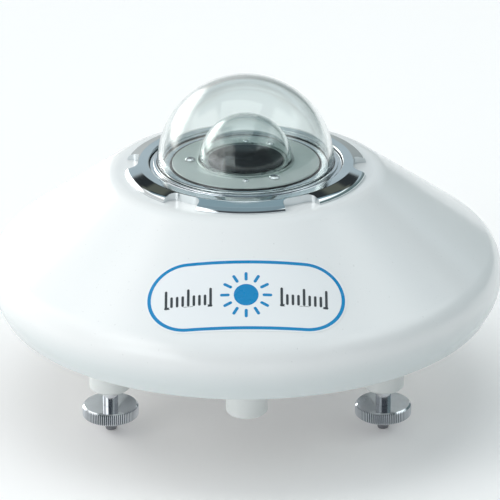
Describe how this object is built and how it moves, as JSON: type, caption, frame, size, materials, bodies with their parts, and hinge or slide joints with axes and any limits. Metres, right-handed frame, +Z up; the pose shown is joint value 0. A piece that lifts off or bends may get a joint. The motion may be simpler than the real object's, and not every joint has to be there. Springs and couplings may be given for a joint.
{
  "type": "pyranometer",
  "caption": "Pyranometer: nested glass domes over a black detector, a chromed lock ring, a bell-shaped white sun shield, and a housing on a fixed foot and knurled levelling screws.",
  "frame": {"origin": "on the floor under the domes' common axis, at the middle of the box's bottom", "axes": "+Z up along the axis of the domes; the label looks along -Y and the connector along +Y; +X to the right when seen from the front"},
  "size_m": [0.2, 0.2, 0.1341],
  "materials": {
    "shield_white": "gloss white moulding",
    "label_film": "printed film",
    "ring_chrome": "polished, with a soft swirl",
    "bezel_chrome": "turned and polished",
    "spring_steel": "rolled wire",
    "rubber_black": "matt",
    "housing_white": "fine powder coat on a casting",
    "plate_aluminium": "clear anodised, turned",
    "screw_steel": "stainless",
    "brass": "turned",
    "knob_chrome": "polished top, knurled edge",
    "stud_chrome": "bright thread",
    "tip_steel": "dark, hardened",
    "dome_glass": "ground and polished",
    "detector_grey": "satin grey-green",
    "absorber_black": "deep matt black",
    "cup_black": "black anodised",
    "level_black": "black anodised",
    "level_green": "tinted fluid",
    "level_glass": "clear",
    "connector_metal": "nickel plated",
    "insert_black": "glass-filled",
    "pin_gold": "gold plated",
    "tube_plastic": "milky",
    "gel_orange": "glassy beads",
    "cap_black": "moulded",
    "board_green": "solder mask",
    "terminal_green": "moulded",
    "wire_red": "insulation",
    "wire_blue": "insulation"
  },
  "bodies": {
    "housing": {"main_housing": "housing_white", "base_flange": "housing_white", "support_bosses": "housing_white", "base_plate": "plate_aluminium", "base_gasket": "rubber_black", "base_screws": "screw_steel", "levelling_bushes": "brass", "fixed_foot": "plate_aluminium", "foot_pad": "rubber_black", "foot_nut": "screw_steel", "shield_gasket": "rubber_black", "outer_dome": "dome_glass", "dome_bezel": "bezel_chrome", "dome_seal": "rubber_black", "bezel_screws": "screw_steel", "inner_dome": "dome_glass", "inner_dome_ring": "bezel_chrome", "detector_plate": "detector_grey", "plate_screws": "screw_steel", "absorber_disc": "absorber_black", "thermopile_body": "cup_black", "sensor_block": "plate_aluminium", "level_case": "level_black", "level_fluid": "level_green", "level_window": "level_glass", "level_screws": "screw_steel", "connector_socket": "connector_metal", "connector_insert": "insert_black", "connector_pins": "pin_gold", "connector_gasket": "rubber_black", "connector_screws": "screw_steel", "circuit_board": "board_green", "board_standoffs": "screw_steel", "board_screws": "screw_steel", "terminal_block": "terminal_green", "sensor_leads": "wire_red", "connector_leads": "wire_blue"},
    "shield": {"sun_shield": "shield_white", "shield_skirt": "shield_white", "front_label": "label_film"},
    "ring_clip": {"ring_retainer": "spring_steel"},
    "ring": {"lock_ring": "ring_chrome"},
    "left_tip": {"left_levelling_tip": "tip_steel"},
    "left_screw": {"left_levelling_knob": "knob_chrome", "left_levelling_stud": "stud_chrome"},
    "right_tip": {"right_levelling_tip": "tip_steel"},
    "right_screw": {"right_levelling_knob": "knob_chrome", "right_levelling_stud": "stud_chrome"},
    "desiccant": {"desiccant_tube": "tube_plastic", "desiccant_gel": "gel_orange", "desiccant_seal": "rubber_black"},
    "desiccant_grip": {"desiccant_cap": "cap_black"}
  },
  "joints": [
    {"name": "shield_lift", "type": "slide", "parent": "housing", "child": "shield", "axis": [0, 0, 1], "range_m": [0, 0.095]},
    {"name": "ring_rise", "type": "slide", "parent": "shield", "child": "ring_clip", "axis": [0, 0, 1], "range_m": [0, 0.003]},
    {"name": "ring_turn", "type": "hinge", "parent": "ring_clip", "child": "ring", "pos_m": [0, 0, 0.097], "axis": [0, 0, 1], "range_deg": [0, 720]},
    {"name": "left_screw_travel", "type": "slide", "parent": "housing", "child": "left_tip", "axis": [0, 0, 1], "range_m": [-0.005, 0.005]},
    {"name": "left_screw_turn", "type": "hinge", "parent": "left_tip", "child": "left_screw", "pos_m": [-0.05326, -0.03075, 0.008], "axis": [0, 0, 1], "range_deg": [-1800, 1800]},
    {"name": "right_screw_travel", "type": "slide", "parent": "housing", "child": "right_tip", "axis": [0, 0, 1], "range_m": [-0.005, 0.005]},
    {"name": "right_screw_turn", "type": "hinge", "parent": "right_tip", "child": "right_screw", "pos_m": [0.05326, -0.03075, 0.008], "axis": [0, 0, 1], "range_deg": [-1800, 1800]},
    {"name": "desiccant_pull", "type": "slide", "parent": "housing", "child": "desiccant", "axis": [1, 0, 0], "range_m": [0, 0.024]},
    {"name": "desiccant_turn", "type": "hinge", "parent": "desiccant", "child": "desiccant_grip", "pos_m": [0.06, 0, 0.05], "axis": [1, 0, 0], "continuous": true}
  ],
  "couplings": [
    {"joint": "ring_rise", "follows": "ring_turn", "m_per_rad": 0.00023873},
    {"joint": "left_screw_travel", "follows": "left_screw_turn", "m_per_rad": 0.00015915},
    {"joint": "right_screw_travel", "follows": "right_screw_turn", "m_per_rad": 0.00015915}
  ]
}
